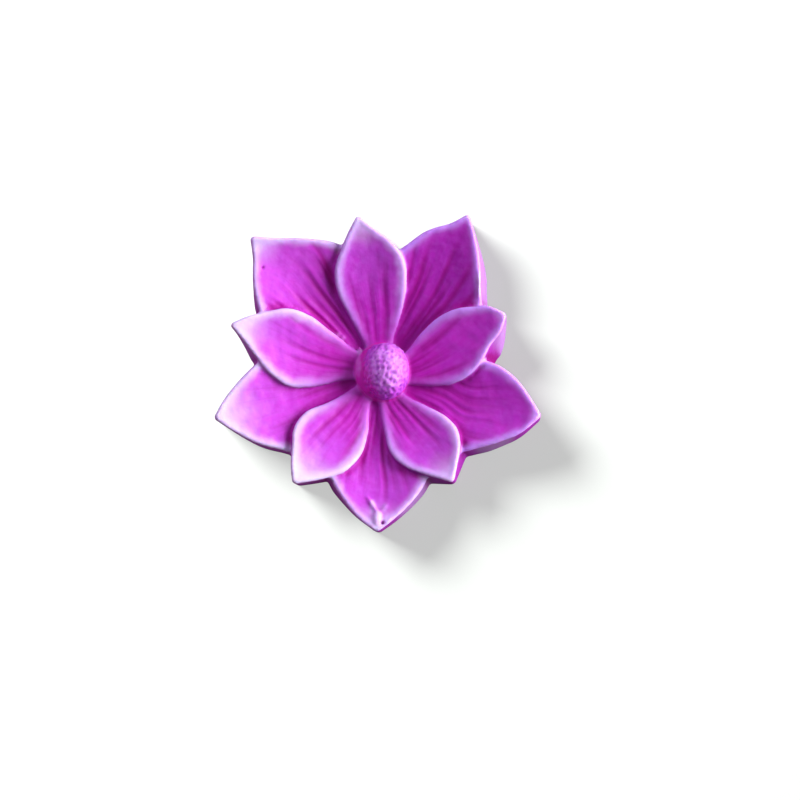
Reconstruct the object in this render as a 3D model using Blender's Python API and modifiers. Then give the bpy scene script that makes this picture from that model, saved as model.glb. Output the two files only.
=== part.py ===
"""A lotus flower ornament, moulded in one piece: two tiers of five petals round a stippled button.

Metres, +Z up. The flower lies on its flat back, with its face upwards.
The origin is the middle of the back, at the bottom centre of the flower's box. Before the last step,
which moves the flower there, the origin is the point of the back that the petals radiate from.
"""

import math
from collections import namedtuple

import bmesh
import bpy
import numpy as np
from mathutils import Vector

MM = 0.001

# A tier of petals: the height of the petal floor at the root and at the tip, and how late it climbs.
# The floor is dished side to side: to this radius along its middle, and levelling off towards the
# rims, at this height above the middle at the root and at the tip. The flare of the walls fades out
# from this share of the reach to the tip, where the wall is upright.
Tier = namedtuple("Tier", "root_height tip_height climb dish_radius dish_root dish_tip flare_fades_from")
OUTER_TIER = Tier(6.8 * MM, 16.6 * MM, 1.45, 17.0 * MM, 0.5 * MM, 3.0 * MM, 0.75)
INNER_TIER = Tier(8.1 * MM, 17.0 * MM, 1.5, 16.0 * MM, 0.8 * MM, 1.7 * MM, 0.85)
DISH_GROWS_FROM = 0.35
DISH_GROWS_TO = 0.85

# The floor stops climbing over its last stretch, so that the tip lies nearly level.
TIP_LEVELS_FROM = 0.93
TIP_LEVELLING = 10.0

# A petal: the bearing of its tip round the middle of the flower, the reach from there to the tip in
# millimetres, the flare of its left and its right wall in degrees, and how far it spreads to the left
# and to the right of the line to its tip, in millimetres, at each station, a share of the reach.
STATIONS = (0.20, 0.40, 0.55, 0.70, 0.82, 0.92)
Petal = namedtuple("Petal", "tier bearing reach flares left right")
PETALS = (
    Petal(OUTER_TIER, 134.0, 42.0, (6.5, 3.3),
          (6.0, 11.0, 13.0, 10.1, 6.9, 2.9), (6.0, 12.0, 14.3, 12.0, 7.7, 3.5)),
    Petal(OUTER_TIER, 60.7, 40.2, (3.3, 6.5),
          (6.0, 10.0, 11.4, 8.9, 6.4, 2.5), (6.0, 11.0, 13.0, 9.7, 6.8, 3.5)),
    Petal(OUTER_TIER, -15.8, 37.1, (1.9, 3.8),
          (6.0, 9.8, 9.0, 8.3, 6.2, 3.2), (6.0, 10.5, 12.8, 10.4, 7.6, 4.6)),
    Petal(OUTER_TIER, -91.7, 35.9, (2.4, 6.0),
          (6.0, 10.0, 11.5, 10.4, 7.4, 3.9), (6.0, 10.5, 12.4, 10.3, 7.4, 4.2)),
    Petal(OUTER_TIER, -164.4, 38.8, (1.5, 6.0),
          (6.0, 10.7, 13.3, 10.4, 7.6, 3.9), (6.0, 10.3, 11.6, 9.1, 6.4, 3.5)),
    Petal(INNER_TIER, 98.5, 35.2, (5.8, 2.5),
          (3.2, 5.6, 7.2, 6.9, 4.7, 2.5), (3.5, 6.9, 8.5, 8.6, 6.5, 3.0)),
    Petal(INNER_TIER, 24.4, 30.7, (4.0, 11.5),
          (2.0, 4.7, 6.0, 5.9, 4.6, 3.2), (5.7, 8.5, 8.8, 7.1, 4.4, 2.9)),
    Petal(INNER_TIER, -57.0, 29.5, (8.5, 9.0),
          (1.2, 4.3, 6.6, 7.1, 5.3, 2.6), (4.6, 6.9, 8.2, 7.3, 4.9, 2.4)),
    Petal(INNER_TIER, -128.1, 31.8, (1.0, 4.5),
          (1.8, 5.9, 7.8, 7.4, 5.3, 2.7), (3.0, 5.4, 7.9, 7.6, 5.1, 2.8)),
    Petal(INNER_TIER, 162.6, 35.3, (7.0, 4.0),
          (3.6, 7.6, 9.2, 7.4, 4.6, 2.1), (3.1, 5.6, 7.4, 7.3, 5.1, 2.8)),
)
ROOT_SPREAD = 2.0
TIP_SPREAD = 0.4
PETAL_ROWS = 20
FLOOR_COLUMNS = 6

# The rim of a petal: a rounded lip that stands proud of the floor. Each column of the lip is given
# as its place, from the edge 0 to the floor 1, and its share of the lip's height.
LIP_WIDTH = 2.4 * MM
LIP_HEIGHT = 0.15 * MM
LIP_COLUMNS = ((0.0, -4.0), (0.12, -1.0), (0.4, 1.0), (1.0, 0.0))
LIP_MOST_OF_WIDTH = 0.4

# The walls flare sideways towards the back, so that the flower leaves its mould. The flare fades in
# from the petal's middle to its edges. Walls overrun the plane of the back.
FLARE_STARTS_ACROSS = 0.55
OVERRUN = 1.0 * MM

BUTTON_MIDDLE = (0.0 * MM, 0.2 * MM)
BUTTON_RADIUS = 6.4 * MM
BUTTON_FLARE = 3.5
BUTTON_TOP = 15.5 * MM
BUTTON_SEGMENTS = 32
BUTTON_ARC_STEPS = 7
SEAM_MERGE = 0.05 * MM

CUTTER_SIDE = 120.0 * MM
CUTTER_DEPTH = 10.0 * MM

PINK = (0.56, 0.05, 0.62, 1.0)
GLOSS_ROUGHNESS = 0.35


def remove_everything():
    for item in list(bpy.data.objects):
        bpy.data.objects.remove(item, do_unlink=True)


def new_collection(name):
    collection = bpy.data.collections.new(name)
    bpy.context.scene.collection.children.link(collection)
    return collection


def new_object(name, mesh, collection):
    item = bpy.data.objects.new(name, mesh)
    collection.objects.link(item)
    return item


def spread_at(spreads, along):
    """How far a petal spreads to one side at a place along it, on a smooth curve through its stations."""
    knots = (0.0, *STATIONS, 1.0)
    values = (ROOT_SPREAD, *spreads, TIP_SPREAD)
    slopes = np.gradient(values, knots)
    k = min(int(np.searchsorted(knots, along, side="right")) - 1, len(knots) - 2)
    span = knots[k + 1] - knots[k]
    t = (along - knots[k]) / span
    start = (1 + 2 * t) * (1 - t) ** 2 * values[k] + t * (1 - t) ** 2 * span * slopes[k]
    end = t * t * (3 - 2 * t) * values[k + 1] + t * t * (t - 1) * span * slopes[k + 1]
    return (start + end) * MM


def columns_across(half_width):
    """Each column's distance from a petal's middle, right to left, and its share of the lip's height."""
    lip = min(LIP_WIDTH, LIP_MOST_OF_WIDTH * half_width)
    floor = half_width - lip
    edge = [(half_width - place * lip, share) for place, share in LIP_COLUMNS]
    middle = [(floor * (2 * k / FLOOR_COLUMNS - 1), 0.0) for k in range(1, FLOOR_COLUMNS)]
    right_edge = [(-distance, share) for distance, share in edge]
    return right_edge + middle + edge[::-1]


def smooth_step(low, high, value):
    """0 up to low, 1 from high, and a smooth climb between them."""
    t = min(max((value - low) / (high - low), 0.0), 1.0)
    return t * t * (3 - 2 * t)


def floor_height(tier, along, from_middle):
    """The height of a petal's floor, without its lip."""
    levelling = TIP_LEVELLING * max(along - TIP_LEVELS_FROM, 0.0) ** 2
    climb = (tier.tip_height - tier.root_height) * (along**tier.climb - levelling)
    grown = smooth_step(DISH_GROWS_FROM, DISH_GROWS_TO, along)
    levels_at = tier.dish_root + (tier.dish_tip - tier.dish_root) * grown
    dish = levels_at * (1 - math.exp(-(from_middle**2) / (2 * tier.dish_radius * levels_at)))
    return tier.root_height + climb + dish


def petal_axes(petal):
    """The level directions from the middle of the flower to a petal's tip, and to its left."""
    bearing = math.radians(petal.bearing)
    forward = Vector((math.cos(bearing), math.sin(bearing), 0.0))
    return forward, Vector((-forward.y, forward.x, 0.0))


def petal_point(petal, along, column):
    """A point of a petal's upper face, from its root, 0 along, to its tip, 1 along."""
    left = spread_at(petal.left, along)
    right = spread_at(petal.right, along)
    from_middle, lip_share = columns_across((left + right) / 2)[column]
    height = floor_height(petal.tier, along, from_middle) + lip_share * LIP_HEIGHT
    forward, leftward = petal_axes(petal)
    plan = forward * (petal.reach * MM * along) + leftward * ((left - right) / 2 + from_middle)
    return plan + Vector((0.0, 0.0, height))


def flare_at(petal, along, across):
    """How far to the left the wall leans out, for each unit of its height, across from -1 to 1."""
    degrees = petal.flares[0] if across > 0 else -petal.flares[1]
    fade = min(1.0, (1.0 - along) / (1.0 - petal.tier.flare_fades_from))
    return math.tan(math.radians(degrees)) * fade * smooth_step(FLARE_STARTS_ACROSS, 1.0, abs(across))


def add_petal(number, petal, collection):
    """One petal: a dished and lipped upper face, with flared walls down past the plane of the back."""
    build = bmesh.new()
    columns = FLOOR_COLUMNS + 2 * len(LIP_COLUMNS) - 2
    bmesh.ops.create_grid(build, x_segments=PETAL_ROWS, y_segments=columns, size=0.5)
    _, leftward = petal_axes(petal)
    shifts = {}
    for vert in build.verts:
        along = vert.co.x + 0.5
        across = 2 * vert.co.y
        column = round((vert.co.y + 0.5) * columns)
        vert.co = petal_point(petal, along, column)
        shifts[vert] = leftward * (vert.co.z + OVERRUN) * flare_at(petal, along, across)
    bmesh.ops.extrude_face_region(build, geom=list(build.faces), use_keep_orig=True)
    for vert, shift in shifts.items():
        vert.co += shift
        vert.co.z = -OVERRUN
    bmesh.ops.recalc_face_normals(build, faces=list(build.faces))
    mesh = bpy.data.meshes.new(f"petal_shape_{number:02d}")
    build.to_mesh(mesh)
    build.free()
    return new_object(mesh.name, mesh, collection)


def add_button(name, collection):
    """The round button, turned from a quarter arc with a flared skirt below it."""
    shoulder = BUTTON_TOP - BUTTON_RADIUS
    profile = []
    for step in range(BUTTON_ARC_STEPS + 1):
        turn = math.radians(90) * step / BUTTON_ARC_STEPS
        profile.append((BUTTON_RADIUS * math.sin(turn), shoulder + BUTTON_RADIUS * math.cos(turn)))
    foot_radius = BUTTON_RADIUS + (shoulder + OVERRUN) * math.tan(math.radians(BUTTON_FLARE))
    profile.append((foot_radius, -OVERRUN))
    profile.append((0.0, -OVERRUN))
    mesh = bpy.data.meshes.new(name)
    corners = [(radius, 0.0, height) for radius, height in profile]
    mesh.from_pydata(corners, [(k, k + 1) for k in range(len(corners) - 1)], [])
    button = new_object(name, mesh, collection)
    button.location.x = BUTTON_MIDDLE[0]
    button.location.y = BUTTON_MIDDLE[1]
    turned = button.modifiers.new("turned", "SCREW")
    turned.steps = BUTTON_SEGMENTS
    turned.render_steps = BUTTON_SEGMENTS
    turned.use_merge_vertices = True
    turned.merge_threshold = SEAM_MERGE
    return button


def pink_material():
    material = bpy.data.materials.new("pink_casting")
    material.use_nodes = True
    shader = material.node_tree.nodes["Principled BSDF"]
    shader.inputs["Base Color"].default_value = PINK
    shader.inputs["Roughness"].default_value = GLOSS_ROUGHNESS
    shader.inputs["Metallic"].default_value = 0.0
    return material


def add_back_cutter(collection):
    """A slab whose top is the plane of the back: what lies below it is cut away."""
    bpy.ops.mesh.primitive_cube_add(size=1.0)
    slab = bpy.context.object
    slab.name = "back_cutter"
    for vert in slab.data.vertices:
        vert.co = (vert.co.x * CUTTER_SIDE, vert.co.y * CUTTER_SIDE, (vert.co.z - 0.5) * CUTTER_DEPTH)
    for owner in list(slab.users_collection):
        owner.objects.unlink(slab)
    collection.objects.link(slab)
    return slab


def hide_as_guide(item):
    item.display_type = "WIRE"
    item.hide_render = True


def centre_on_box(body, followers):
    """Moves the body and its cutters so that the origin is at the bottom centre of the body's box."""
    bpy.context.view_layer.update()
    evaluated = body.evaluated_get(bpy.context.evaluated_depsgraph_get())
    corners = np.array([body.matrix_world @ vert.co for vert in evaluated.data.vertices])
    middle = (corners.min(axis=0) + corners.max(axis=0)) / 2
    for item in [body, *followers]:
        item.location.x -= middle[0]
        item.location.y -= middle[1]


def main():
    remove_everything()
    flower_collection = new_collection("lotus_flower_ornament")
    shapes = new_collection("petal_shapes")
    cutters = new_collection("cutters")
    for number, petal in enumerate(PETALS, start=1):
        hide_as_guide(add_petal(number, petal, shapes))
    flower = add_button("moulded_flower", flower_collection)
    flower.data.materials.append(pink_material())
    slab = add_back_cutter(cutters)
    hide_as_guide(slab)
    joined = flower.modifiers.new("petals", "BOOLEAN")
    joined.operation = "UNION"
    joined.operand_type = "COLLECTION"
    joined.collection = shapes
    joined.solver = "EXACT"
    flat_back = flower.modifiers.new("flat back", "BOOLEAN")
    flat_back.operation = "DIFFERENCE"
    flat_back.object = slab
    flat_back.solver = "EXACT"
    centre_on_box(flower, [*shapes.objects, slab])


main()
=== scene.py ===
import bpy
import math
import numpy as np
from mathutils import Matrix, Vector, kdtree, noise
from mathutils.bvhtree import BVHTree


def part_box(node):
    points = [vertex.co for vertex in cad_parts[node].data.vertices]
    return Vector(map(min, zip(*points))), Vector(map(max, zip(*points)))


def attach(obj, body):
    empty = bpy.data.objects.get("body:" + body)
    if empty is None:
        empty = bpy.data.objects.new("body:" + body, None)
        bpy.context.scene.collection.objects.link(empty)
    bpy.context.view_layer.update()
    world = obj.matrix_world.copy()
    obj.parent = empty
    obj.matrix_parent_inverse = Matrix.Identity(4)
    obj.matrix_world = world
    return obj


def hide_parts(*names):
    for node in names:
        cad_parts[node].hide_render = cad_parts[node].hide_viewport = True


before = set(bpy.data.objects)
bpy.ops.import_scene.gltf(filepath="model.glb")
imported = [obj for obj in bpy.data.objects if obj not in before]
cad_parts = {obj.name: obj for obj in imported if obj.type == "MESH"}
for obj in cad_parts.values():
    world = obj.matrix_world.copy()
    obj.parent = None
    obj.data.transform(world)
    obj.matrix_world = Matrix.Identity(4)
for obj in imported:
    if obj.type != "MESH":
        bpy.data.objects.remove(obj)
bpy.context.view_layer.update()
mm = 0.001
flowerNode = "moulded_flower"
print("frame loaded")


def selectOnly(*items):
    bpy.ops.object.select_all(action="DESELECT")
    for item in items:
        item.select_set(True)
    bpy.context.view_layer.objects.active = items[0]


def applyModifier(item, kind, **settings):
    modifier = item.modifiers.new(kind.lower(), kind)
    for key, value in settings.items():
        setattr(modifier, key, value)
    selectOnly(item)
    bpy.ops.object.modifier_apply(modifier=modifier.name)


def getPoints(item):
    points = np.empty(len(item.data.vertices) * 3)
    item.data.vertices.foreach_get("co", points)
    return points.reshape(-1, 3)


def setPoints(item, points):
    item.data.vertices.foreach_set("co", points.ravel())
    item.data.update()


def getNormals(item):
    normals = np.empty(len(item.data.vertices) * 3)
    item.data.vertices.foreach_get("normal", normals)
    return normals.reshape(-1, 3)


def smoothStep(low, high, values):
    t = np.clip((values - low) / (high - low), 0, 1)
    return t * t * (3 - 2 * t)


# the petals, in millimetres from the flower's middle at the flat back
outerTier = dict(rootHeight=6.8, tipHeight=16.6, climb=1.45, dishRadius=17.0, dishRoot=0.5, dishTip=3.0,
                 flareFadesFrom=0.75)
innerTier = dict(rootHeight=8.1, tipHeight=17.0, climb=1.5, dishRadius=16.0, dishRoot=0.8, dishTip=1.7,
                 flareFadesFrom=0.85)

# how far a petal spreads left and right of the line to its tip, at these shares of its reach
stations = (0.20, 0.40, 0.55, 0.70, 0.82, 0.92)


# bearings and flares in degrees; veins is how many grooves a petal has and marks how strongly they
# show, tipPale how far the pale tip runs, and the last two are shares: of white at the rim, partly a painted
# highlight on the petals that face the light, and of painted shade on the petals turned from it
def petal(name, tier, bearing, reach, flares, left, right, veins, marks, tipPale, whiteHighlight, petalShade=0.0):
    return dict(name=name, tier=tier, bearing=math.radians(bearing), reach=reach,
                flares=[math.radians(angle) for angle in flares], left=left, right=right,
                veins=veins, marks=marks, tipPale=tipPale, whiteHighlight=whiteHighlight, petalShade=petalShade)


petals = [
    petal("outerUpperLeft", outerTier, 134.0, 42.0, (6.5, 3.3),
          (6.0, 11.0, 13.0, 10.1, 6.9, 2.9), (6.0, 12.0, 14.3, 12.0, 7.7, 3.5), 9, 2.2, 3.6, 0.7),
    petal("outerUpperRight", outerTier, 60.7, 40.2, (3.3, 6.5),
          (6.0, 10.0, 11.4, 8.9, 6.4, 2.5), (6.0, 11.0, 13.0, 9.7, 6.8, 3.5), 9, 1.0, 1.0, 0.0, 0.55),
    petal("outerRight", outerTier, -15.8, 37.1, (1.9, 3.8),
          (6.0, 9.8, 9.0, 8.3, 6.2, 3.2), (6.0, 10.5, 12.8, 10.4, 7.6, 4.6), 11, 0.9, 1.5, 0.1, 0.12),
    petal("outerLow", outerTier, -91.7, 35.9, (2.4, 6.0),
          (6.0, 10.0, 11.5, 10.4, 7.4, 3.9), (6.0, 10.5, 12.4, 10.3, 7.4, 4.2), 8, 1.2, 3.5, 0.6, 0.2),
    petal("outerLeft", outerTier, -164.4, 38.8, (1.5, 6.0),
          (6.0, 10.7, 13.3, 10.4, 7.6, 3.9), (6.0, 10.3, 11.6, 9.1, 6.4, 3.5), 11, 0.9, 5.5, 0.9),
    petal("innerTop", innerTier, 98.5, 35.2, (5.8, 2.5),
          (3.2, 5.6, 7.2, 6.9, 4.7, 2.5), (3.5, 6.9, 8.5, 8.6, 6.5, 3.0), 7, 0.75, 3.5, 0.5, 0.5),
    petal("innerUpperRight", innerTier, 24.4, 30.7, (4.0, 11.5),
          (2.0, 4.7, 6.0, 5.9, 4.6, 3.2), (5.7, 8.5, 8.8, 7.1, 4.4, 2.9), 7, 1.0, 1.5, 0.1),
    petal("innerLowRight", innerTier, -57.0, 29.5, (8.5, 9.0),
          (1.2, 4.3, 6.6, 7.1, 5.3, 2.6), (4.6, 6.9, 8.2, 7.3, 4.9, 2.4), 7, 1.1, 3.6, 0.6, 0.2),
    petal("innerLowLeft", innerTier, -128.1, 31.8, (1.0, 4.5),
          (1.8, 5.9, 7.8, 7.4, 5.3, 2.7), (3.0, 5.4, 7.9, 7.6, 5.1, 2.8), 7, 1.0, 5.0, 1.0, 0.12),
    petal("innerUpperLeft", innerTier, 162.6, 35.3, (7.0, 4.0),
          (3.6, 7.6, 9.2, 7.4, 4.6, 2.1), (3.1, 5.6, 7.4, 7.3, 5.1, 2.8), 7, 1.0, 4.5, 0.9),
]

petalForm = dict(rows=84, columns=60, rootSpread=2.0, tipSpread=0.4, rimLand=2.2, landShare=0.6,
                 lipWidth=2.4, lipHeight=0.15, lipCrest=0.6, lipAtRoot=0.35, lipGrows=(0.15, 0.4),
                 roundOver=1.0, roundDrop=0.35, dishGrows=(0.35, 0.85), tipLevelsFrom=0.93,
                 tipLevelling=10.0, extruded=1.0, overrun=1.0, flareFrom=0.55, faceStarts=0.05)
withinPetal = (0.001, 0.999)  # the shares of a petal's length that are sure to lie on its curves


def spreadAt(spreads, along):  # a smooth curve through the values at the stations
    knots = np.array((0.0, *stations, 1.0))
    values = np.array((petalForm["rootSpread"], *spreads, petalForm["tipSpread"]))
    slopes = np.gradient(values, knots)
    k = np.clip(np.searchsorted(knots, along, side="right") - 1, 0, len(knots) - 2)
    span = knots[k + 1] - knots[k]
    t = (along - knots[k]) / span
    start = (1 + 2 * t) * (1 - t) ** 2 * values[k] + t * (1 - t) ** 2 * span * slopes[k]
    end = t * t * (3 - 2 * t) * values[k + 1] + t * t * (t - 1) * span * slopes[k + 1]
    return start + end


def faceHeight(one, along, across):  # the height of a petal's upper face
    tier, form = one["tier"], petalForm
    halfWidth = (spreadAt(one["left"], along) + spreadAt(one["right"], along)) / 2
    levelling = form["tipLevelling"] * np.maximum(along - form["tipLevelsFrom"], 0) ** 2
    climb = (tier["tipHeight"] - tier["rootHeight"]) * (along ** tier["climb"] - levelling)
    most = tier["dishRoot"] + (tier["dishTip"] - tier["dishRoot"]) * smoothStep(*form["dishGrows"], along)
    land = np.minimum(form["rimLand"], halfWidth * form["landShare"])  # the dish levels off at the rim
    outward = np.abs(across) * halfWidth
    outward = outward - np.clip(outward - halfWidth + land, 0, land) ** 2 / (2 * land)
    dish = most * (1 - np.exp(-outward**2 / (2 * tier["dishRadius"] * most)))
    inward = np.minimum(halfWidth * (1 - np.abs(across)), one["reach"] * (1 - along))
    inward = np.maximum(inward, 0)
    crest = form["lipCrest"]
    curl = np.clip(1 - (inward - crest) / (form["lipWidth"] - crest), 0, 1) ** 2
    grown = form["lipAtRoot"] + (1 - form["lipAtRoot"]) * smoothStep(*form["lipGrows"], along)
    lip = smoothStep(-crest, crest, inward) * curl * grown
    edge = np.clip(1 - inward / form["roundOver"], 0, 1)
    rounding = form["roundDrop"] * (1 - np.sqrt(np.maximum(1 - edge**2, 0)))
    return tier["rootHeight"] + climb + dish + lip * form["lipHeight"] - rounding


def facePlan(one, along, across):  # where a place on a petal lies, seen from above
    left, right = spreadAt(one["left"], along), spreadAt(one["right"], along)
    sideways = (left - right) / 2 + across * (left + right) / 2
    forward = one["reach"] * along
    c, s = math.cos(one["bearing"]), math.sin(one["bearing"])
    return forward * c - sideways * s, forward * s + sideways * c


def intoPetal(one, points):  # where a point lies in a petal: along it, across it, and the half width
    c, s = math.cos(one["bearing"]), math.sin(one["bearing"])
    along = (points[:, 0] * c + points[:, 1] * s) / one["reach"]
    sideways = points[:, 1] * c - points[:, 0] * s
    inside = np.clip(along, *withinPetal)
    left, right = spreadAt(one["left"], inside), spreadAt(one["right"], inside)
    halfWidth = (left + right) / 2
    return along, (sideways - (left - right) / 2) / halfWidth, halfWidth


def addPetal(one):
    form = petalForm
    bpy.ops.mesh.primitive_grid_add(x_subdivisions=form["rows"], y_subdivisions=form["columns"], size=2)
    item = bpy.context.object
    item.name = one["name"]
    flat = getPoints(item)
    along = (flat[:, 0] + 1) / 2
    across = np.sin(flat[:, 1] * math.pi / 2)  # columns crowd towards the rims
    x, y = facePlan(one, along, across)
    face = np.stack([x, y, faceHeight(one, along, across)], axis=1)
    setPoints(item, face * mm)
    # the face is extruded, then the new foot is flared and set below the plane of the back
    bpy.ops.object.mode_set(mode="EDIT")
    bpy.ops.mesh.select_all(action="SELECT")
    bpy.ops.mesh.extrude_region_move(TRANSFORM_OT_translate={"value": (0, 0, -form["extruded"] * mm)})
    bpy.ops.object.mode_set(mode="OBJECT")
    points = getPoints(item) / mm
    picked = np.empty(len(points), dtype=bool)
    item.data.vertices.foreach_get("select", picked)
    foot = np.flatnonzero(picked)
    footAlong, footAcross, halfWidth = intoPetal(one, points[foot])
    fade = np.clip((1 - footAlong) / (1 - one["tier"]["flareFadesFrom"]), 0, 1)
    height = points[foot, 2] + form["overrun"] + form["extruded"]
    flare = np.where(footAcross > 0, math.tan(one["flares"][0]), math.tan(one["flares"][1]))
    push = height * flare * fade * smoothStep(form["flareFrom"], 1.0, np.abs(footAcross))
    slide = np.sign(footAcross) * push
    c, s = math.cos(one["bearing"]), math.sin(one["bearing"])
    points[foot, 0] -= slide * s
    points[foot, 1] += slide * c
    points[foot, 2] = -form["overrun"]
    setPoints(item, points * mm)
    selectOnly(item)
    bpy.ops.object.mode_set(mode="EDIT")
    bpy.ops.mesh.select_all(action="SELECT")
    bpy.ops.mesh.normals_make_consistent(inside=False)
    bpy.ops.object.mode_set(mode="OBJECT")
    return item


button = dict(middle=(0.0, 0.2), radius=6.4, widths=(0.965, 1.04), top=15.5, skirt=0.4,
              shoulder=8.6, collarHeight=4.4, domeMiddle=(0.95, 0.35), domeRadii=(5.25, 6.4, 5.2),
              paleMiddle=(1.3, 1.1), paleRadii=(4.3, 5.6), streakMiddle=(-5.3, 1.6), streakRadii=(0.8, 2.4),
              pitSpacing=1.15, pitRadius=0.36, pitDepth=0.25, pitSeed=11, pitJitter=0.045,
              sizeSeed=5, pitSizes=(0.55, 1.5), lumps=0.3, segments=96, rings=64)
flaws = [  # lumps of flash that the casting came out with: middle, radii, turn and lift off the face
    dict(at=(-5.1, 4.8), radii=(0.45, 0.45, 1.4), turn=0, lift=1.0, pale=0.5),
    dict(at=(-10.0, 8.8), radii=(0.4, 0.28, 0.32), turn=-35, lift=0.12, pale=0.2),
    dict(at=(-8.9, 8.1), radii=(0.3, 0.28, 0.36), turn=20, lift=0.12, pale=0.2),
    dict(at=(-0.85, -32.9), radii=(0.8, 1.7, 0.5), turn=-5, lift=0.25, pale=0.8),
    dict(at=(-1.9, -30.1), radii=(0.32, 2.7, 0.42), turn=33, lift=0.25, pale=0.7),
    dict(at=(0.7, -30.6), radii=(0.26, 1.3, 0.35), turn=-38, lift=0.05, pale=0.35),
    dict(at=(22.0, 19.8), radii=(0.3, 3.4, 0.5), turn=-1, lift=0.1, pale=0.8),
]
paleWalls = [  # where the side walls have a whitish skin, partly a painted highlight where they face the light: middle and radius
    dict(at=(22.5, 22.0), radius=13.0),
    dict(at=(29.5, 8.0), radius=6.0),
    dict(at=(8.5, -28.5), radius=8.0),
    dict(at=(25.0, -15.0), radius=6.0),
]
dents = [  # small pits in the face: middle, radius and depth
    dict(at=(0.4, -34.0), radius=0.55, depth=0.8),
    dict(at=(-26.7, 23.5), radius=0.5, depth=0.4),
]


def domeShape():  # the middle and the three radii of the button's dome
    radii = np.array(button["domeRadii"])
    return np.array([*button["domeMiddle"], button["top"] - radii[2]]), radii


def addButton():  # a dome leaning out of a round collar, on a short flaring skirt
    shoulder, below = button["shoulder"], petalForm["overrun"]
    x, y = button["middle"]
    middle, radii = domeShape()
    wide, deep = button["widths"]
    segments, rings = button["segments"], button["rings"]
    bpy.ops.mesh.primitive_uv_sphere_add(segments=segments, ring_count=rings, radius=mm,
                                         location=middle * mm)
    dome = bpy.context.object
    dome.scale = radii
    bpy.ops.mesh.primitive_uv_sphere_add(segments=segments, ring_count=rings, radius=mm,
                                         location=(x * mm, y * mm, shoulder * mm))
    collar = bpy.context.object
    collar.scale = (wide * button["radius"], deep * button["radius"], button["collarHeight"])
    bpy.ops.mesh.primitive_cone_add(vertices=segments, radius1=(button["radius"] + button["skirt"]) * mm,
                                    radius2=button["radius"] * mm, depth=(shoulder + below) * mm,
                                    location=(x * mm, y * mm, (shoulder - below) / 2 * mm))
    skirt = bpy.context.object
    skirt.scale = (wide, deep, 1)
    for item in (dome, collar, skirt):
        selectOnly(item)
        bpy.ops.object.transform_apply(location=True, rotation=True, scale=True)
    return [dome, collar, skirt]


def faceUnder(x, y):  # the height of the highest petal face at a place
    heights = [0.0]
    for one in petals:
        along, across = intoPetal(one, np.array([[x, y, 0.0]]))[:2]
        if petalForm["faceStarts"] < along[0] < 1 and abs(across[0]) < 1:
            heights.append(float(faceHeight(one, along, across)[0]))
    return max(heights)


def addFlaws():  # each lies along the slope of the face below it
    lumps = []
    for flaw in flaws:
        x, y = flaw["at"]
        turn = math.radians(flaw["turn"])
        ahead = Vector((-math.sin(turn), math.cos(turn))) * flaw["radii"][1] * 0.5
        rise = faceUnder(x + ahead.x, y + ahead.y) - faceUnder(x - ahead.x, y - ahead.y)
        lean = math.atan2(rise, flaw["radii"][1])
        flaw["middle"] = (x, y, faceUnder(x, y) + flaw["lift"])
        bpy.ops.mesh.primitive_uv_sphere_add(segments=24, ring_count=16, radius=mm,
                                             location=Vector(flaw["middle"]) * mm,
                                             rotation=(lean, 0, turn))
        lump = bpy.context.object
        lump.scale = flaw["radii"]
        bpy.ops.object.transform_apply(location=True, rotation=True, scale=True)
        lumps.append(lump)
    return lumps


casting = dict(grain=0.33, softening=4, blending=3, regain=0.03, unevenness=0.11, fineUnevenness=0.03,
               evenBelow=(0.5, 2.0))


def fuseCasting(parts):
    selectOnly(*parts)
    bpy.ops.object.join()
    flower = bpy.context.object
    flower.name = "lotusCasting"
    applyModifier(flower, "REMESH", mode="VOXEL", voxel_size=casting["grain"] * mm)
    applyModifier(flower, "SMOOTH", factor=0.5, iterations=casting["softening"])
    bpy.ops.object.mode_set(mode="EDIT")
    bpy.ops.mesh.select_all(action="SELECT")
    bpy.ops.mesh.bisect(plane_co=(0, 0, 0), plane_no=(0, 0, 1), use_fill=True, clear_inner=True)
    bpy.ops.object.mode_set(mode="OBJECT")
    return flower


flower = fuseCasting([addPetal(one) for one in petals] + addButton() + addFlaws())
print("petals fused:", len(flower.data.vertices), "points")


# a petal's veins fan out, in degrees, from a focus behind the flower's middle, in millimetres
veinForm = dict(seed=4, depth=0.25, ridgeShare=0.5, width=0.36, widths=(0.8, 1.35), widening=0.010, bow=1.2,
                starts=(0.10, 0.22), fadeIn=0.1, ends=(0.50, 0.80), fadeOut=0.28, offRim=(0.8, 2.4),
                leastForward=0.5)
outerVeins = dict(focus=-9.0, fan=18.0, scatter=0.7, later=0.12, strengths=(0.35, 0.9), widthShare=0.85)
innerVeins = dict(focus=-11.0, fan=11.5, scatter=0.35, later=0.0, strengths=(0.35, 0.85), widthShare=1.0)


def veinsOf(one):
    return innerVeins if one["tier"] is innerTier else outerVeins


def veinsOn(one, angle, forward, along):  # grooves and the ridges between them, each 0 to 1
    rng = np.random.default_rng(veinForm["seed"] + petals.index(one))
    tier = veinsOf(one)
    grooves, ridges = np.zeros(len(along)), np.zeros(len(along))
    count = 2 * one["veins"] - 1
    for k in range(count):
        lane = (2 * (k + 0.5) / count - 1) * tier["fan"]
        lane = math.radians(lane + rng.normal(0, tier["scatter"]))
        end = rng.uniform(*veinForm["ends"]) + tier["later"]
        start = rng.uniform(*veinForm["starts"]) + tier["later"]
        strength = rng.uniform(*tier["strengths"]) * one["marks"]
        width = veinForm["width"] * rng.uniform(*veinForm["widths"]) * tier["widthShare"]
        width = width + forward * veinForm["widening"]
        bow = math.radians(rng.normal(0, veinForm["bow"]))
        away = (angle - lane - bow * np.sin(along * math.pi)) * forward / width
        run = smoothStep(start - veinForm["fadeIn"], start + veinForm["fadeIn"], along)
        run = run * (1 - smoothStep(end - veinForm["fadeOut"], end, along))
        line = strength * run * np.exp(-away**2)
        if k % 2 == 0:
            grooves = np.maximum(grooves, line)
        else:
            ridges = np.maximum(ridges, line)
    return grooves, ridges


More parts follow.
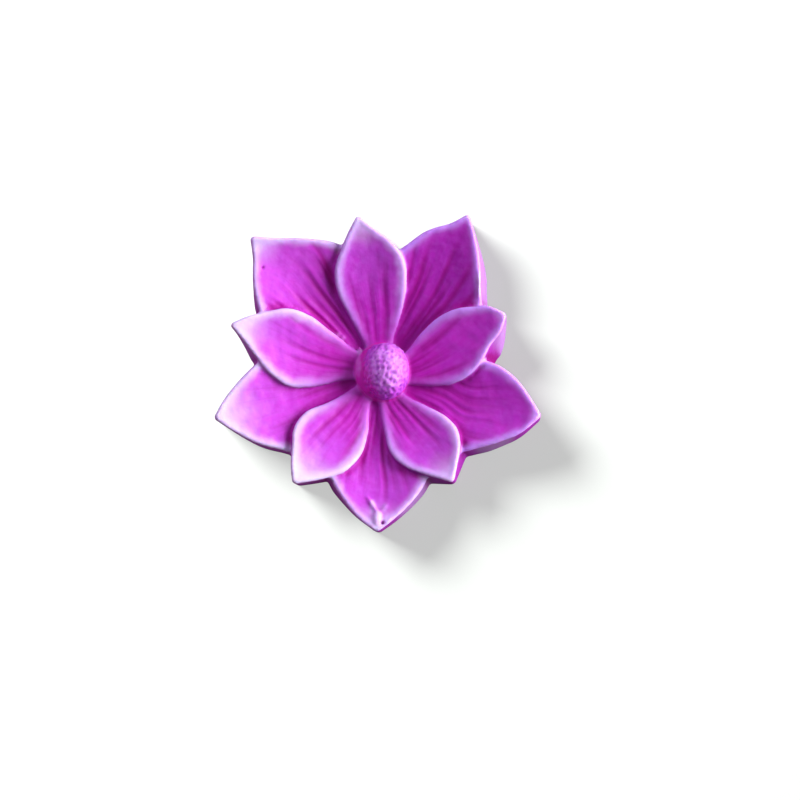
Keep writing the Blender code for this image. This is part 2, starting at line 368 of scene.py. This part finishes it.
def spiralPlace(k, lift):  # the place of number k in an even spiral over a half sphere, at this height
    turn = k * math.pi * (3 - math.sqrt(5))
    flat = math.sqrt(1 - lift * lift)
    return flat * math.cos(turn), flat * math.sin(turn), lift


def pitPlaces():  # an even spiral over the button, jittered
    rng = np.random.default_rng(button["pitSeed"])
    middle, radii = domeShape()
    count = int(2 * math.pi * radii[0] * radii[1] / button["pitSpacing"] ** 2)
    places = []
    for k in range(count):
        spot = np.array(spiralPlace(k, 1 - (k + 0.5) / count)) + rng.normal(0, button["pitJitter"], 3)
        places.append(spot / np.linalg.norm(spot) * radii)
    return np.array(places) + middle


def nearest(places, points):  # the number of the nearest place to each point, and how far it is
    tree = kdtree.KDTree(len(places))
    for k, place in enumerate(places):
        tree.insert(place, k)
    tree.balance()
    found = [tree.find(point) for point in points]
    return np.array([hit[1] for hit in found]), np.array([hit[2] for hit in found])


clouds = dict(
    wobble=dict(size=2.2, shift=(3.1, 0, 0)),
    ragged=dict(size=0.7, shift=(0, 4.4, 0)),
    lumps=dict(size=0.8, shift=(9.7, 0, 0)),
)


def cloudAt(points, size, shift):  # soft noise, about -1 to 1
    return np.array([noise.noise(Vector(point) / size + Vector(shift)) for point in points])


def flatDistance(points, place):
    return np.hypot(points[:, 0] - place[0], points[:, 1] - place[1])


def addMask(item, name, values):
    layer = item.data.attributes.new(name, "FLOAT", "POINT")
    layer.data.foreach_set("value", np.ascontiguousarray(values, dtype=np.float32))


rimForm = dict(startsAt=0.22, places=170, heightUpTo=0.99, heightAcross=0.96)


def rimLine():  # points along the top of every petal's rim
    share = np.linspace(rimForm["startsAt"], 1.0, rimForm["places"])
    below = np.minimum(share, rimForm["heightUpTo"])
    runs = []
    for one in petals:
        for side in (-1.0, 1.0):
            x, y = facePlan(one, share, np.full(len(share), side))
            z = faceHeight(one, below, np.full(len(share), rimForm["heightAcross"] * side))
            runs.append(np.stack([x, y, z], axis=1))
    return np.concatenate(runs)


facesUp = 0.2  # a normal that rises more than this belongs to an upper face
# how near a point has to be to a petal's face to belong to it
ownerForm = dict(gap=1.1, alongFrom=0.1, alongTo=1.02, across=1.1)


def findOwners(points, normals, placed):  # the petal whose upper face each point is on, or -1
    owner = np.full(len(points), -1)
    bestGap = np.full(len(points), ownerForm["gap"])
    for k, one in enumerate(petals):
        along, across = placed[k][:2]
        onPetal = (along > ownerForm["alongFrom"]) & (along < ownerForm["alongTo"])
        onPetal &= np.abs(across) < ownerForm["across"]
        height = faceHeight(one, np.clip(along, *withinPetal), np.clip(across, -1, 1))
        gap = np.abs(points[:, 2] - height)
        mine = onPetal & (gap < bestGap) & (normals[:, 2] > facesUp)
        owner[mine] = k
        bestGap[mine] = gap[mine]
    return owner


# where a petal is paler: widths in millimetres, the rim's fade in widths of the rim, and the shares of
# the petal's length between which the other things come or go
paleForm = dict(tipLength=2.4, tipUneven=0.15, tipCurve=0.35, tipFull=4.5,
                rimWidth=1.0, rimWhiter=0.3, rimAtTip=0.8, rimUneven=0.3, rimRagged=0.1, rimFade=(0.1, 2.3),
                rimAtRoot=0.2, rimGrows=(0.2, 0.6), whiteGrows=(0.25, 0.65),
                glowWidth=1.5, glowAtTip=1.2, glowWhiter=1.4, bloom=0.06, bloomWhiter=0.55,
                bloomGrows=(0.25, 0.85), rootFades=(0.2, 0.68))
# fine streaks that keep off the rim, in millimetres, and off the root and the tip, in shares of the length
streakForm = dict(offRim=(0.6, 2.6), offRoot=(0.1, 0.25), offTip=(0.7, 0.95), lanes=30.0, lengthwise=2.5)
masks = {}


def maskPetals(points, normals):
    pale = paleForm
    count = len(points)
    placed = [intoPetal(one, points) for one in petals]
    owner = findOwners(points, normals, placed)
    wobble = cloudAt(points, **clouds["wobble"])
    ragged = cloudAt(points, **clouds["ragged"])
    for name in ("vein", "ridge", "rim", "glow", "tip", "root", "white", "inner", "petalShade"):
        masks[name] = np.zeros(count)
    masks["streak"] = np.zeros((count, 3))
    for k, one in enumerate(petals):
        mine = owner == k
        along, across, halfWidth = [values[mine] for values in placed[k]]
        forward = one["reach"] * along
        inward = np.maximum(np.minimum(halfWidth * (1 - np.abs(across)), one["reach"] * (1 - along)), 0)
        fromTip = one["reach"] * (1 - along) * (1 + pale["tipUneven"] * wobble[mine])
        fromTip = fromTip + pale["tipCurve"] * np.abs(across) * halfWidth
        tip = 1 - smoothStep(0.0, pale["tipLength"] * one["tipPale"], fromTip)
        tip = tip * min(1.0, one["tipPale"] / pale["tipFull"])
        grown = pale["rimAtRoot"] + (1 - pale["rimAtRoot"]) * smoothStep(*pale["rimGrows"], along)
        # the share of white widens the pale rim, the glow and the bloom: partly a painted highlight on the
        # petals that face the light
        width = pale["rimWidth"] + pale["rimWhiter"] * one["whiteHighlight"] + pale["rimAtTip"] * tip
        width = width * (1 + pale["rimUneven"] * wobble[mine] + pale["rimRagged"] * ragged[mine])
        rimFrom, rimTo = pale["rimFade"]
        masks["rim"][mine] = (1 - smoothStep(rimFrom * width, rimTo * width, inward)) * grown
        masks["white"][mine] = np.maximum(one["whiteHighlight"], tip) * smoothStep(*pale["whiteGrows"], along)
        glowWidth = pale["glowWidth"] + pale["glowAtTip"] * tip + pale["glowWhiter"] * one["whiteHighlight"]
        bloom = pale["bloom"] + pale["bloomWhiter"] * one["whiteHighlight"]
        bloom = bloom * smoothStep(*pale["bloomGrows"], along)
        masks["glow"][mine] = np.maximum(np.exp(-inward / glowWidth) * grown, bloom)
        masks["tip"][mine] = tip
        masks["root"][mine] = 1 - smoothStep(*pale["rootFades"], along)
        masks["inner"][mine] = one["tier"] is innerTier
        # painted shade, stronger on the petals turned from the light
        masks["petalShade"][mine] = one["petalShade"]
        forward = forward - veinsOf(one)["focus"]
        angle = np.arctan2(across * halfWidth, np.maximum(forward, veinForm["leastForward"]))
        grooves, ridges = veinsOn(one, angle, forward, along)
        clear = smoothStep(*veinForm["offRim"], inward)
        masks["vein"][mine] = grooves * clear
        masks["ridge"][mine] = ridges * clear
        masks["streak"][mine, 0] = angle + k
        masks["streak"][mine, 1] = along
        onFace = smoothStep(*streakForm["offRim"], inward) * smoothStep(*streakForm["offRoot"], along)
        masks["streak"][mine, 2] = onFace * (1 - smoothStep(*streakForm["offTip"], along))
    return owner, wobble, ragged


# how the button's places are told apart, in millimetres or shares of a radius, and how they fade
buttonMarks = dict(domeSkin=0.07, domeLowest=-0.1, domeBeyond=0.2, sideBeyond=0.15, sideLowest=7.5,
                   pitFade=(0.3, 1.4), pitRagged=0.25, topFade=(0.6, 1.25), topUneven=0.16, topRagged=0.14,
                   scuff=0.5, scuffFade=(0.3, 1.3), scuffRagged=0.2,
                   shadeTowards=(-0.94, -0.34), shadeFade=(1.2, 3.6), shadeUneven=0.3, shadeRagged=0.5)


def maskButton(points, wobble, ragged):
    marks = buttonMarks
    middle, radii = domeShape()
    dome = (points - middle) / radii
    fromBase = (points[:, :2] - button["middle"]) / button["widths"]
    radial = np.hypot(fromBase[:, 0], fromBase[:, 1])
    onDome = np.abs(np.linalg.norm(dome, axis=1) - 1) < marks["domeSkin"]
    onDome &= (dome[:, 2] > marks["domeLowest"]) & (radial < button["radius"] + marks["domeBeyond"])
    pits = pitPlaces()
    which, distance = nearest(pits, points[onDome])
    distance = distance * (1 + marks["pitRagged"] * ragged[onDome])
    sizes = np.random.default_rng(button["sizeSeed"]).uniform(*button["pitSizes"], len(pits))
    sizes = sizes[which] * button["pitRadius"]
    pitFrom, pitTo = marks["pitFade"]
    masks["pit"] = np.zeros(len(points))
    masks["pit"][onDome] = 1 - smoothStep(pitFrom * sizes, pitTo * sizes, distance)
    for name in ("vein", "ridge", "rim", "glow", "tip"):
        masks[name][onDome] = 0
    masks["streak"][onDome, 2] = 0
    # a pale patch high on the dome, partly a painted highlight, and a pale scuff on its left side
    fromPale = (points[:, :2] - button["paleMiddle"]) / button["paleRadii"]
    patchy = np.hypot(fromPale[:, 0], fromPale[:, 1])
    patchy = patchy + marks["topUneven"] * wobble + marks["topRagged"] * ragged
    masks["buttonPaleAndHighlight"] = onDome * (1 - smoothStep(*marks["topFade"], patchy))
    onButton = (radial < button["radius"] + marks["sideBeyond"]) & (points[:, 2] > marks["sideLowest"])
    masks["buttonShadeSide"] = onButton * 1.0
    fromStreak = (points[:, :2] - button["streakMiddle"]) / button["streakRadii"]
    fromStreak = np.hypot(fromStreak[:, 0], fromStreak[:, 1]) + marks["scuffRagged"] * ragged
    scuffed = marks["scuff"] * onButton * (1 - smoothStep(*marks["scuffFade"], fromStreak))
    masks["buttonPaleAndHighlight"] = np.maximum(masks["buttonPaleAndHighlight"], scuffed)
    # the dome's own colour fades out towards the lower left, where the darker side colour stays as painted
    # shade
    x, y = marks["shadeTowards"]
    towardsShade = x * fromBase[:, 0] + y * fromBase[:, 1]
    towardsShade = towardsShade + marks["shadeUneven"] * wobble + marks["shadeRagged"] * ragged
    masks["buttonDome"] = onDome * (1 - smoothStep(*marks["shadeFade"], towardsShade))
    return onDome, radial


# the side walls: which of them are turned from the light, for painted shade, and how pale their top edges
# are, a painted highlight where the walls face the light
wallMarks = dict(turnedTowards=(-0.85, -0.53), turnedFade=(0.35, 0.8), turnedBeyond=0.6, topBeyond=1.2,
                 litFade=(-0.7, 0.3), topPale=0.8, topFade=(0.1, 0.5), sideFade=(0.1, 0.5), patchCore=0.5)


def maskWalls(points, normals, owner, radial):
    marks = wallMarks
    x, y = marks["turnedTowards"]
    turned = smoothStep(*marks["turnedFade"], x * normals[:, 0] + y * normals[:, 1])
    masks["turned"] = turned * (radial > button["radius"] + marks["turnedBeyond"])
    wallTop = (owner < 0) & (radial > button["radius"] + marks["topBeyond"])
    distance = nearest(rimLine(), points[wallTop])[1]
    # the top edges are pale only where the walls face the light: a painted highlight
    lit = smoothStep(*marks["litFade"], normals[wallTop, 0])
    masks["rim"][wallTop] = marks["topPale"] * lit * (1 - smoothStep(*marks["topFade"], distance))
    masks["side"] = 1 - smoothStep(*marks["sideFade"], normals[:, 2])
    masks["wall"] = np.zeros(len(points))
    for patch in paleWalls:
        away = flatDistance(points, patch["at"])
        pale = 1 - smoothStep(marks["patchCore"] * patch["radius"], patch["radius"], away)
        masks["wall"] = np.maximum(masks["wall"], pale)
    masks["wall"] *= masks["side"]


def softenMasks(item):  # each value drawn towards its neighbours', so that borders run smoothly
    ends = np.empty(2 * len(item.data.edges), dtype=np.int32)
    item.data.edges.foreach_get("vertices", ends)
    first, second = ends.reshape(-1, 2).T
    count = len(item.data.vertices)
    links = np.bincount(ends, minlength=count)
    for name in ("rim", "white", "tip", "glow", "root", "petalShade", "inner", "side", "turned", "wall"):
        values = masks[name]
        for turn in range(casting["blending"]):
            around = np.bincount(first, values[second], count) + np.bincount(second, values[first], count)
            values = (values + around / links) / 2
        masks[name] = values


# how much of a dent is flat, and how the pale skin fades round a lump of flash
flawForm = dict(dentFloor=0.2, dentFacesUp=0.1, paleAround=0.3, paleFade=(0.7, 1.2))


def detailCasting(flower):
    points = getPoints(flower) / mm
    normals = getNormals(flower)
    owner, wobble, ragged = maskPetals(points, normals)
    onDome, radial = maskButton(points, wobble, ragged)
    maskWalls(points, normals, owner, radial)
    # the casting is uneven, lumpier and finer on the button, and even near its back
    uneven = casting["regain"] + wobble * casting["unevenness"] * (normals[:, 2] > facesUp)
    uneven += ragged * casting["fineUnevenness"]
    uneven += onDome * cloudAt(points, **clouds["lumps"]) * button["lumps"]
    uneven *= smoothStep(*casting["evenBelow"], points[:, 2])
    for dent in dents:
        away = flatDistance(points, dent["at"])
        hollow = 1 - smoothStep(flawForm["dentFloor"] * dent["radius"], dent["radius"], away)
        hollow = hollow * (normals[:, 2] > flawForm["dentFacesUp"])
        uneven -= hollow * dent["depth"]
        masks["pit"] = np.maximum(masks["pit"], hollow)
        masks["rim"] *= 1 - hollow
    for flaw in flaws:
        away = (points - np.array(flaw["middle"])) / (np.array(flaw["radii"]) + flawForm["paleAround"])
        near = flaw["pale"] * (1 - smoothStep(*flawForm["paleFade"], np.linalg.norm(away, axis=1)))
        masks["rim"] = np.maximum(masks["rim"], near)
        masks["white"] = np.maximum(masks["white"], near)
    uneven -= masks["vein"] * veinForm["depth"] + masks["pit"] * onDome * button["pitDepth"]
    uneven += masks["ridge"] * veinForm["depth"] * veinForm["ridgeShare"]
    softenMasks(flower)
    points += normals * uneven[:, None]
    points[:, 2] = np.maximum(points[:, 2], 0)
    setPoints(flower, points * mm)
    streak = masks.pop("streak")
    for name, values in masks.items():
        addMask(flower, name, values)
    layer = flower.data.attributes.new("streak", "FLOAT_VECTOR", "POINT")
    layer.data.foreach_set("vector", streak.astype(np.float32).ravel())


detailCasting(flower)
print("veins and pits cut")


# how many rays look out from each point, how far they reach and how far off the skin they start
shelter = dict(rays=20, reach=7.0, startsOff=0.05)


def shelterMask(flower):  # how closed in each point is by its neighbours: 0 open, 1 deep in a crease
    tree = BVHTree.FromObject(flower, bpy.context.evaluated_depsgraph_get())
    points = getPoints(flower)
    normals = getNormals(flower)
    rays = shelter["rays"]
    spread = [spiralPlace(k, math.sqrt(1 - (k + 0.5) / rays)) for k in range(rays)]
    values = np.zeros(len(points))
    reach, off = shelter["reach"] * mm, shelter["startsOff"] * mm
    for k, (point, normal) in enumerate(zip(points, normals)):
        up = Vector(normal)
        side = up.orthogonal().normalized()
        other = up.cross(side)
        start = Vector(point) + up * off
        blocked = 0.0
        for a, b, c in spread:
            distance = tree.ray_cast(start, side * a + other * b + up * c, reach)[3]
            if distance is not None:
                blocked += 1 - distance / reach
        values[k] = blocked / rays
    # this mask darkens the colour as painted shade in the creases
    addMask(flower, "creaseShade", values)


shelterMask(flower)
print("creases shaded")

# the flower moves to where the CAD stands
points = getPoints(flower)
low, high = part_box(flowerNode)
middle = (points.min(axis=0) + points.max(axis=0)) / 2
moveX = (low.x + high.x) / 2 - middle[0]
moveY = (low.y + high.y) / 2 - middle[1]
points[:, 0] += moveX
points[:, 1] += moveY
petalsMeet = Vector((moveX, moveY, 0))  # the point that the petals' lines run to, once moved
setPoints(flower, points)
selectOnly(flower)
bpy.ops.object.shade_smooth()
print("flower moved to the frame:", petalsMeet)


class Flow:  # a socket wrapped so that an expression adds its own nodes
    def __init__(self, shader, socket):
        self.shader, self.socket = shader, socket

    def maths(self, operation, first, second):
        node = self.shader.node("ShaderNodeMath", dict(operation=operation), {0: first, 1: second})
        return Flow(self.shader, node.outputs[0])

    def __add__(self, other):
        return self.maths("ADD", self, other)

    def __radd__(self, other):
        return self.maths("ADD", other, self)

    def __sub__(self, other):
        return self.maths("SUBTRACT", self, other)

    def __rsub__(self, other):
        return self.maths("SUBTRACT", other, self)

    def __mul__(self, other):
        return self.maths("MULTIPLY", self, other)

    def __rmul__(self, other):
        return self.maths("MULTIPLY", other, self)


class Shader:
    def __init__(self, name):
        self.material = bpy.data.materials.new(name)
        self.material.use_nodes = True
        self.tree = self.material.node_tree
        self.tree.nodes.clear()

    def node(self, kind, settings={}, inputs={}):
        made = self.tree.nodes.new(kind)
        for key, value in settings.items():
            setattr(made, key, value)
        for key, value in inputs.items():
            if isinstance(value, Flow):
                self.tree.links.new(value.socket, made.inputs[key])
            else:
                made.inputs[key].default_value = value
        return made

    def flow(self, kind, settings={}, inputs={}, output=0):
        return Flow(self, self.node(kind, settings, inputs).outputs[output])

    def mask(self, name):
        return self.flow("ShaderNodeAttribute", dict(attribute_name=name), output="Fac")

    def noise(self, place, scale, detail):
        return self.flow("ShaderNodeTexNoise", {}, {"Vector": place, "Scale": scale, "Detail": detail})

    def blend(self, factor, first, second):  # two colours mixed
        return self.flow("ShaderNodeMix", dict(data_type="RGBA"), {0: factor, 6: first, 7: second}, output=2)


finish = dict(
    body=(0.57, 0.028, 0.56, 1), violet=(0.47, 0.032, 0.60, 1), root=(0.53, 0.013, 0.46, 1),
    petalShade=(0.26, 0.006, 0.28, 1), pale=(0.60, 0.18, 0.86, 1), tip=(0.69, 0.60, 0.83, 1),
    rim=(0.64, 0.34, 1.0, 1), white=(0.73, 0.64, 0.87, 1), grooveShade=(0.33, 0.002, 0.22, 1),
    ridge=(0.60, 0.04, 0.62, 1), creaseShade=(0.37, 0.003, 0.27, 1), wallCrease=(0.20, 0.002, 0.13, 1),
    wallBase=(0.28, 0.018, 0.29, 1), wall=(0.36, 0.17, 0.43, 1), pit=(0.42, 0.050, 0.54, 1),
    buttonPaleAndHighlight=(0.61, 0.25, 0.74, 1), buttonShadeSide=(0.54, 0.016, 0.36, 1), buttonDome=(0.46, 0.060, 0.58, 1),
)
# each noise's scale and detail
pattern = dict(cloud=(120.0, 3.0), mottle=(700.0, 2.0), grain=(1600.0, 2.0), streaks=(1.0, 2.5))
# how strongly each colour shows, and how far the mottling and the fibres break it up
amount = dict(violet=1.5, violetFrom=0.4, glow=0.65, glowMottle=0.3, tip=0.75, ridge=0.5, ridgeFibre=0.5,
              grooveShade=0.85, grooveFibre=0.8, wall=0.8, buttonShadeSide=0.85, sideMottle=0.5, buttonDome=0.9,
              buttonPaleAndHighlight=0.75, topMottle=1.2, rim=0.85, rimMottle=0.4, turned=0.85, pit=0.65)
# between which values of the crease mask the painted shade deepens the colour, and where it deepens less
creaseShadeForm = dict(starts=0.02, full=0.30, lessOnInner=0.35, lessAtRoot=0.65)
rough = dict(base=0.42, cloud=0.15, grain=0.06, creaseShade=0.2, side=0.3)
relief = dict(strength=0.35, distance=0.0001, grain=0.4, mottle=0.7, cloud=1.5, fibre=1.5)
# a satin casting that lets a little light in, 1.2 mm deep
satin = {"IOR": 1.47, "Specular IOR Level": 0.14, "Subsurface Weight": 0.25,
         "Subsurface Radius": (1.0, 0.15, 0.6), "Subsurface Scale": 0.0012}


def castingFinish():
    shader = Shader("pinkCasting")
    place = shader.flow("ShaderNodeTexCoord", output="Object")
    cloud, mottle, grain = [shader.noise(place, *pattern[name]) for name in ("cloud", "mottle", "grain")]
    fan = shader.flow("ShaderNodeAttribute", dict(attribute_name="streak"), output="Vector")
    fanParts = shader.node("ShaderNodeSeparateXYZ", {}, {"Vector": fan})
    angle, along, onFace = [Flow(shader, socket) for socket in fanParts.outputs]
    lanes = shader.flow("ShaderNodeCombineXYZ", {}, {
        "X": angle * streakForm["lanes"], "Y": along * streakForm["lengthwise"]})
    # the patterns as more or less than their middle value
    fibre = (shader.noise(lanes, *pattern["streaks"]) - 0.5) * onFace
    speckle = mottle - 0.5
    root, side = shader.mask("root"), shader.mask("side")
    # the body's colour, darker at the roots, with painted shade on the petals turned from the light and on
    # the side walls
    colour = shader.blend((cloud - amount["violetFrom"]) * amount["violet"], finish["body"], finish["violet"])
    colour = shader.blend(root, colour, finish["root"])
    colour = shader.blend(shader.mask("petalShade"), colour, finish["petalShade"])
    # the side walls take a dark colour, painted shade
    colour = shader.blend(side, colour, finish["wallBase"])
    # the paler petals, partly a painted highlight on those facing the light, with ridges, and grooves
    # darkened as painted shade
    glow = shader.mask("glow") * amount["glow"] + speckle * amount["glowMottle"]
    colour = shader.blend(glow, colour, finish["pale"])
    colour = shader.blend(shader.mask("tip") * amount["tip"], colour, finish["tip"])
    ridge = shader.mask("ridge") * amount["ridge"] + fibre * amount["ridgeFibre"]
    colour = shader.blend(ridge, colour, finish["ridge"])
    grooveShade = shader.mask("vein") * amount["grooveShade"] - fibre * amount["grooveFibre"]
    colour = shader.blend(grooveShade, colour, finish["grooveShade"])
    colour = shader.blend(shader.mask("wall") * amount["wall"], colour, finish["wall"])
    # painted shade in the creases between the petals and at the foot of the walls
    deep = shader.flow("ShaderNodeMapRange", dict(interpolation_type="SMOOTHSTEP"), {
        "Value": shader.mask("creaseShade"), "From Min": creaseShadeForm["starts"], "From Max": creaseShadeForm["full"]})
    deep = deep * (1 - shader.mask("inner") * creaseShadeForm["lessOnInner"])
    deep = deep * (1 - root * creaseShadeForm["lessAtRoot"])
    creaseShadeColour = shader.blend(side, finish["creaseShade"], finish["wallCrease"])
    colour = shader.blend(deep, colour, creaseShadeColour)
    # the button, with painted shade on its lower left and a pale patch, partly a painted highlight, at its
    # upper right
    onSide = shader.mask("buttonShadeSide") * (amount["buttonShadeSide"] + speckle * amount["sideMottle"])
    colour = shader.blend(onSide, colour, finish["buttonShadeSide"])
    colour = shader.blend(shader.mask("buttonDome") * amount["buttonDome"], colour, finish["buttonDome"])
    onTop = shader.mask("buttonPaleAndHighlight") * (amount["buttonPaleAndHighlight"] + speckle * amount["topMottle"])
    colour = shader.blend(onTop, colour, finish["buttonPaleAndHighlight"])
    # the rims, painted shade on the walls turned from the light, and the pits
    rimColour = shader.blend(shader.mask("white"), finish["rim"], finish["white"])
    rim = shader.mask("rim") * (amount["rim"] + speckle * amount["rimMottle"])
    colour = shader.blend(rim, colour, rimColour)
    colour = shader.blend(shader.mask("turned") * amount["turned"], colour, finish["wallBase"])
    colour = shader.blend(shader.mask("pit") * amount["pit"], colour, finish["pit"])
    roughness = rough["base"] + (cloud - 0.5) * rough["cloud"] + grain * rough["grain"]
    roughness = roughness + deep * rough["creaseShade"] + side * rough["side"]
    height = grain * relief["grain"] + mottle * relief["mottle"]
    height = height + cloud * relief["cloud"] + fibre * relief["fibre"]
    bump = shader.flow("ShaderNodeBump", {}, {
        "Strength": relief["strength"], "Distance": relief["distance"], "Height": height})
    surface = shader.flow("ShaderNodeBsdfPrincipled", {}, {
        "Base Color": colour, "Roughness": roughness, "Normal": bump, **satin})
    shader.node("ShaderNodeOutputMaterial", {}, {"Surface": surface})
    return shader.material


flower.data.materials.clear()
flower.data.materials.append(castingFinish())
print("finish made")


floorForm = dict(size=4, below=0.0002, colour=(0.160, 0.168, 0.160, 1), glow=(0.985, 1, 0.985, 1),
                 glowPower=0.53)


def floorFinish():  # its own glow is for the camera alone, so it throws no light on the flower
    shader = Shader("paleFloor")
    seen = shader.flow("ShaderNodeLightPath", output="Is Camera Ray")
    diffuse = shader.flow("ShaderNodeBsdfDiffuse", {}, {"Color": floorForm["colour"]})
    lift = shader.flow("ShaderNodeEmission", {}, {
        "Color": floorForm["glow"], "Strength": seen * floorForm["glowPower"]})
    both = shader.flow("ShaderNodeAddShader", {}, {0: diffuse, 1: lift})
    shader.node("ShaderNodeOutputMaterial", {}, {"Surface": both})
    return shader.material


bpy.ops.mesh.primitive_plane_add(size=floorForm["size"], location=(0, 0, -floorForm["below"]))
floor = bpy.context.object
floor.name = "floor"
floor.data.materials.append(floorFinish())

lampTarget = Vector((0, 0, 0.008))
# bearings and lifts in degrees, distances and sizes in metres
lamps = [
    dict(name="keyLamp", bearing=12, lift=20, distance=0.7, size=0.62, power=14.2,
         colour=(0.95, 0.95, 1.0), lights=flower),
    dict(name="fillLamp", bearing=140, lift=26, distance=0.8, size=0.5, power=2.9,
         colour=(0.84, 0.62, 1.0), lights=flower),
    dict(name="shadowLamp", bearing=139, lift=43, distance=1.2, size=0.6, power=78.0,
         colour=(1, 1, 1), lights=floor),
]


def addLamp(name, bearing, lift, distance, size, power, colour, lights):
    turn, rise = math.radians(bearing), math.radians(lift)
    place = Vector((math.cos(rise) * math.cos(turn), math.cos(rise) * math.sin(turn), math.sin(rise)))
    bpy.ops.object.light_add(type="AREA", location=place * distance + lampTarget)
    lamp = bpy.context.object
    lamp.name = name
    lamp.data.shape = "DISK"
    lamp.data.size = size
    lamp.data.energy = power
    lamp.data.color = colour
    lamp.rotation_euler = (lampTarget - lamp.location).to_track_quat("-Z", "Y").to_euler()
    # it lights this one piece alone
    group = bpy.data.collections.new(name + "Lights")
    group.objects.link(lights)
    lamp.light_linking.receiver_collection = group


for lamp in lamps:
    addLamp(**lamp)

room = dict(colour=(1, 1, 1, 1), strength=0.20)
world = bpy.context.scene.world or bpy.data.worlds.new("world")
bpy.context.scene.world = world
world.use_nodes = True
background = world.node_tree.nodes["Background"]
background.inputs["Color"].default_value = room["colour"]
background.inputs["Strength"].default_value = room["strength"]
print("floor and lamps placed")

# tilt and bearing in degrees, the distance and the width seen in metres, the lens frame in millimetres,
# and the aim in millimetres from where the petals' lines meet
view = dict(distance=0.9, tilt=3.5, bearing=-58, widthSeen=0.1827, lensFrame=36.0, clipEnd=20,
            aim=(3.74, -5.64, 0.0))

turn, lean = math.radians(view["bearing"]), math.radians(view["tilt"])
towards = Vector((math.sin(lean) * math.cos(turn), math.sin(lean) * math.sin(turn), math.cos(lean)))
aim = Vector(view["aim"]) * mm + petalsMeet
bpy.ops.object.camera_add(location=aim + towards * view["distance"])
camera = bpy.context.object
right = Vector((0, 1, 0)).cross(towards).normalized()
upward = towards.cross(right)
spin = Matrix((right, upward, towards)).transposed()
camera.rotation_euler = spin.to_euler()
camera.data.sensor_width = view["lensFrame"]
camera.data.lens = view["lensFrame"] * view["distance"] / view["widthSeen"]
camera.data.clip_end = view["clipEnd"]
bpy.context.scene.camera = camera
bpy.context.scene.view_settings.view_transform = "Standard"
print("camera placed")

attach(flower, "root")
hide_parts(flowerNode)
